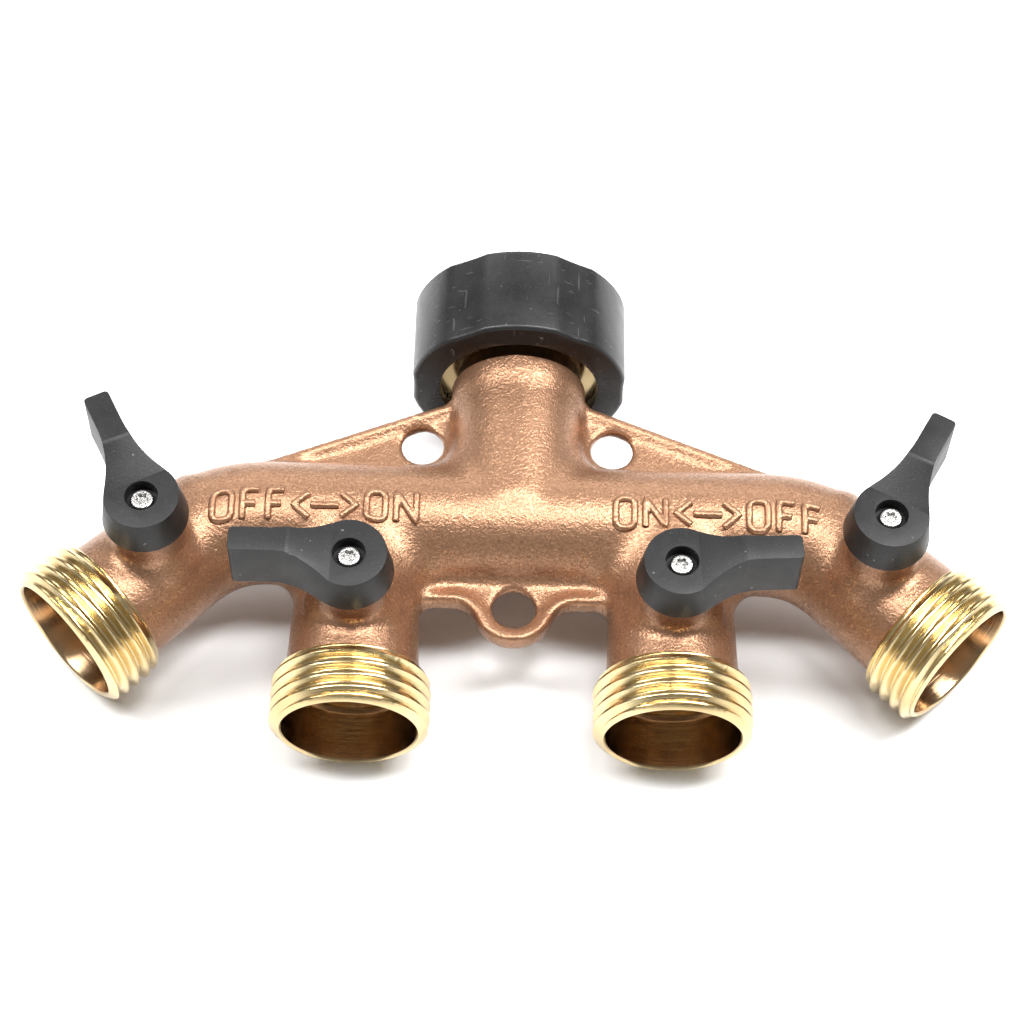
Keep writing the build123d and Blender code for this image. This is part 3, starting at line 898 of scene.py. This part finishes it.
# The lever: x along it from the stem's axis, z above the waterway
LEVER_BOTTOM, HUB_TOP, PADDLE_TOP = 18.0, 24.2, 28.0
RAMP_START, RAMP_END = 2.9, 9.9
PADDLE_START = 13.0
LEVER_FOOT = (7.15, 2.35, 57, 19.2)  # hub's radius, paddle's half width, where the arm leaves, tip
LEVER_CROWN = (6.15, 2.15, 55, 19.1)
ARM_CURVE = 3.8
TIP_CORNER = 0.7
COUNTERBORE_R, COUNTERBORE_FLOOR = 2.75, 21.7
SCREW_WAY_R = 1.05
SOCKET_HALF, SOCKET_TOP = 2.15, 20.5


def lever_outline(hub, half, leave, tip):
    """The lever seen from above: round the hub, in along a hollow side to the paddle and round its tip."""
    angle = radians(leave)
    a = Vector((hub * cos(angle), hub * sin(angle)))
    b = a + ARM_CURVE * Vector((sin(angle), -cos(angle)))
    c, d = Vector((PADDLE_START - ARM_CURVE, half)), Vector((PADDLE_START, half))
    side = []
    for i in range(15):
        t = i / 14
        p = a * (1 - t) ** 3 + 3 * b * t * (1 - t) ** 2 + 3 * c * t**2 * (1 - t) + d * t**3
        side.append((p.x, p.y))
    round_tip = arc((tip - TIP_CORNER, half - TIP_CORNER), TIP_CORNER, 90, 0, 4)
    upper = [*side, (16.4, half), *round_tip]
    hub_arc = arc((0, 0), hub, 360 - leave, leave, 56)[1:-1]
    lower = [(x, -y) for x, y in reversed(upper)]
    return [*upper, *lower, *hub_arc]


class MESH_OT_splitter_levers(SplitterOperator, bpy.types.Operator):
    """Model one lever, with its counterbore and socket, and put a copy on every valve"""

    bl_idname = "mesh.splitter_levers"
    bl_label = "Levers"

    def execute(self, context):
        foot, crown = lever_outline(*LEVER_FOOT), lever_outline(*LEVER_CROWN)
        piece = outline_ring("lever", foot)
        for vertex, (x, y) in zip(piece.data.vertices, foot):
            vertex.co = (x * MM, y * MM, LEVER_BOTTOM * MM)
        only(piece)
        edit(
            select_all,
            bpy.ops.mesh.edge_face_add,
            lambda: bpy.ops.mesh.extrude_region_move(
                TRANSFORM_OT_translate={"value": (0, 0, (PADDLE_TOP - LEVER_BOTTOM) * MM)}
            ),
        )
        # The sides lean in: each point of the top moves from the foot's outline to the crown's
        for vertex in piece.data.vertices:
            if vertex.co.z > (LEVER_BOTTOM + 1) * MM:
                here = vertex.co.xy / MM
                x, y = min(zip(foot, crown), key=lambda pair: (Vector(pair[0]) - here).length)[1]
                vertex.co.x, vertex.co.y = x * MM, y * MM
        # Two creases, and then the heights: hub, ramp and paddle
        for x in (RAMP_START, RAMP_END):
            bpy.ops.object.mode_set(mode="EDIT")
            select_all()
            bpy.ops.mesh.bisect(plane_co=(x * MM, 0, 0), plane_no=(1, 0, 0), threshold=1e-6)
            bpy.ops.object.mode_set(mode="OBJECT")
        for vertex in piece.data.vertices:
            share = min(max((vertex.co.x / MM - RAMP_START) / (RAMP_END - RAMP_START), 0), 1)
            height = HUB_TOP + share * (PADDLE_TOP - HUB_TOP) - LEVER_BOTTOM
            rise = (vertex.co.z / MM - LEVER_BOTTOM) / (PADDLE_TOP - LEVER_BOTTOM)
            vertex.co.z = (LEVER_BOTTOM + rise * height) * MM
        only(piece)
        edit(merge_doubles, face_outwards)
        modify(
            piece, "BEVEL", width=self.sizes.lever_bevel, segments=3, limit_method="ANGLE",
            angle_limit=radians(35), harden_normals=False,
        )
        counterbore = drum("cut", COUNTERBORE_R, COUNTERBORE_FLOOR, 32, 72, place=UPRIGHT)
        screw_way = drum("cut", SCREW_WAY_R, 17, 22, 32, place=UPRIGHT)
        socket = block("cut", (-SOCKET_HALF, -SOCKET_HALF, 17), (SOCKET_HALF, SOCKET_HALF, SOCKET_TOP))
        combine(piece, "DIFFERENCE", counterbore, screw_way, socket)
        smooth_by_angle(piece, 28)
        for name in OUTLETS:
            only(piece)
            bpy.ops.object.duplicate(linked=False)
            lever = bpy.context.object
            lever.name = lever.data.name = f"{name}_handle"
            settle(lever, valve_place(name))
            declare(lever, f"{name}_valve", "black_plastic", finish_named("lever_plastic"), f"{name}_lever")
        bpy.data.objects.remove(piece)
        return {"FINISHED"}


# The nut's cover: distances are from the middle of the manifold along the neck
NUT_R = 19.34  # a hair inside the CAD cover
NUT_START, NUT_END = 29.0, 46.0
FLAT_HALF = 11.0  # half of a flat's width, in degrees
FLAT_HOLLOW = 0.12  # how far the middle of a flat sinks in
NUT_OPENING_R = 14.2
POCKET_HALF = 14.93  # from the axis to the middle of the pocket's sides
POCKET_START, POCKET_DEPTH = 31.4, 17.0
POCKET_TURN = radians(30)  # puts a corner of the pocket at the top, as on the insert


def nut_outline():
    """The cover seen along the neck: six round lobes with slightly hollow flats between them."""
    points = []
    lobe = 60 - 2 * FLAT_HALF
    for side in range(6):
        corner = 60 * side + 30
        start = 60 * side - 30 + FLAT_HALF
        for i in range(13):
            a = radians(start + i * lobe / 12)
            points.append((NUT_R * cos(a), NUT_R * sin(a)))
        for i in range(1, 6):
            a = radians(corner - FLAT_HALF + i * 2 * FLAT_HALF / 6)
            reach = NUT_R * cos(radians(FLAT_HALF)) / cos(a - radians(corner)) - FLAT_HOLLOW * sin(pi * i / 6)
            points.append((reach * cos(a), reach * sin(a)))
    return points


class MESH_OT_splitter_nut(SplitterOperator, bpy.types.Operator):
    """Model the black plastic cover of the union nut"""

    bl_idname = "mesh.splitter_nut"
    bl_label = "Nut cover"

    def execute(self, context):
        points = nut_outline()
        bpy.ops.mesh.primitive_circle_add(vertices=len(points), radius=MM)
        piece = bpy.context.object
        piece.name = piece.data.name = "union_nut_cover"
        for vertex, (up, across) in zip(piece.data.vertices, points):
            vertex.co = (NUT_START * MM, across * MM, up * MM)
        only(piece)
        edit(
            select_all,
            bpy.ops.mesh.edge_face_add,
            lambda: bpy.ops.mesh.extrude_region_move(
                TRANSFORM_OT_translate={"value": ((NUT_END - NUT_START) * MM, 0, 0)}
            ),
            face_outwards,
        )
        modify(
            piece, "BEVEL", width=0.8 * MM, segments=4, limit_method="ANGLE", angle_limit=radians(60)
        )
        opening = drum("cut", NUT_OPENING_R, NUT_START - 1, POCKET_START + 0.5, 128)
        bpy.ops.mesh.primitive_cylinder_add(
            vertices=6, radius=POCKET_HALF / cos(radians(30)) * MM, depth=POCKET_DEPTH * MM
        )
        lay_down = Matrix.Rotation(radians(90), 4, "Y") @ Matrix.Rotation(POCKET_TURN, 4, "Z")
        pocket = settle(bpy.context.object, lay_down)
        settle(pocket, Matrix.Translation(((POCKET_START + POCKET_DEPTH / 2) * MM, 0, 0)))
        combine(piece, "DIFFERENCE", opening, pocket)
        modify(piece, "BEVEL", width=0.18 * MM, segments=2, limit_method="ANGLE", angle_limit=radians(50))
        settle(piece, Matrix.Translation(AXIS) @ ALONG_NECK)
        smooth_by_angle(piece, 25)
        declare(piece, "union_nut", "nut_plastic", finish_named("nut_plastic"), "nut_cover")
        return {"FINISHED"}


# Camera
LOOKING_DOWN, CAMERA_YAW, CAMERA_ROLL = radians(59.44), radians(0.5), radians(1.85)
CAMERA_DISTANCE = 0.4
CAMERA_LENS = 80.9
CAMERA_SHIFT = (-0.0034, 0.0167)

# name, place, size in metres and power in watts; every light points at the origin
LIGHTS = (
    ("left", (-0.34, 0.05, 0.62), (0.11, 0.6), 5.0),
    ("right", (0.28, 0.08, 0.62), (0.15, 0.6), 7.0),
    ("back", (0.0, 0.6, 0.35), (0.9, 0.2), 2.0),
)
SKY = 0.3  # strength of the light from all round


class SCENE_OT_splitter_stage(SplitterOperator, bpy.types.Operator):
    """Lay the floor under the splitter, light it softly and aim the camera"""

    bl_idname = "scene.splitter_stage"
    bl_label = "Stage"

    def execute(self, context):
        scene = context.scene
        # The splitter rests on its nut and its inner threads, so the floor leans a little
        front, back = Vector((0, -41.9, 6.05)) * MM, Vector((0, 26.7, 0)) * MM
        lean = asin((back.z - front.z) / (back - front).length)
        bpy.ops.mesh.primitive_grid_add(x_subdivisions=40, y_subdivisions=40, size=6.0)
        floor = bpy.context.object
        floor.name = "floor"
        floor.rotation_euler = (lean, 0, 0)
        floor.location = back - Vector((0, 0, 0.0001))
        finish = Finish("floor", roughness=0.75)
        cloud = finish.noise(3, 2, 0.5)
        tone = list(self.colours.floor)
        finish.drive("Base Color", finish.blend(cloud, tone, [c * 0.99 for c in tone]))
        floor.data.materials.append(finish.material)

        world = bpy.data.worlds.new("studio")
        world.use_nodes = True
        scene.world = world
        world.node_tree.nodes["Background"].inputs["Color"].default_value = (1, 1, 1, 1)
        world.node_tree.nodes["Background"].inputs["Strength"].default_value = SKY
        scene.view_settings.view_transform = "Standard"
        for name, place, size, power in LIGHTS:
            bpy.ops.object.light_add(type="AREA", location=place)
            light = bpy.context.object
            light.name = name
            light.rotation_euler = (-Vector(place)).to_track_quat("-Z", "Y").to_euler()
            light.data.shape = "RECTANGLE"
            light.data.size, light.data.size_y = size
            light.data.energy = power

        right = Vector((cos(CAMERA_YAW), -sin(CAMERA_YAW), 0))
        ahead = Vector((sin(CAMERA_YAW), cos(CAMERA_YAW), 0))
        up = ahead * sin(LOOKING_DOWN) + Vector((0, 0, cos(LOOKING_DOWN)))
        forward = ahead * cos(LOOKING_DOWN) - Vector((0, 0, sin(LOOKING_DOWN)))
        turned_right = cos(CAMERA_ROLL) * right + sin(CAMERA_ROLL) * up
        turned_up = -sin(CAMERA_ROLL) * right + cos(CAMERA_ROLL) * up
        bpy.ops.object.camera_add()
        camera = bpy.context.object
        camera.name = "camera"
        turn = Matrix((turned_right, turned_up, -forward)).transposed().to_4x4()
        camera.matrix_world = Matrix.Translation(AXIS - forward * CAMERA_DISTANCE) @ turn
        camera.data.sensor_width = 36
        camera.data.lens = CAMERA_LENS
        camera.data.shift_x, camera.data.shift_y = CAMERA_SHIFT
        camera.data.clip_start = 0.01
        scene.camera = camera
        return {"FINISHED"}


class VIEW3D_PT_splitter(bpy.types.Panel):
    """Lists the splitter's pieces, sizes and colours"""

    bl_idname = "VIEW3D_PT_splitter"
    bl_label = "Hose splitter"
    bl_space_type = "VIEW_3D"
    bl_region_type = "UI"
    bl_category = "Splitter"

    def draw(self, context):
        for operator in OPERATORS:
            self.layout.operator(operator.bl_idname)
        for group in (context.scene.splitter_sizes, context.scene.splitter_colours):
            box = self.layout.box()
            for name in group.bl_rna.properties.keys():
                if name not in ("rna_type", "name"):
                    box.prop(group, name)


OPERATORS = (
    MESH_OT_splitter_finishes,
    MESH_OT_splitter_casting,
    MESH_OT_splitter_outlets,
    MESH_OT_splitter_lettering,
    MESH_OT_splitter_levers,
    MESH_OT_splitter_nut,
    SCENE_OT_splitter_stage,
)
CLASSES = (SplitterColours, SplitterSizes, *OPERATORS, VIEW3D_PT_splitter)


def register():
    for cls in CLASSES:
        bpy.utils.register_class(cls)
    bpy.types.Scene.splitter_sizes = PointerProperty(type=SplitterSizes)
    bpy.types.Scene.splitter_colours = PointerProperty(type=SplitterColours)


def unregister():
    del bpy.types.Scene.splitter_sizes, bpy.types.Scene.splitter_colours
    for cls in reversed(CLASSES):
        bpy.utils.unregister_class(cls)


def main():
    register()
    for operator in OPERATORS:
        group, name = operator.bl_idname.split(".")
        getattr(getattr(bpy.ops, group), name)()


if __name__ == "__main__":
    main()
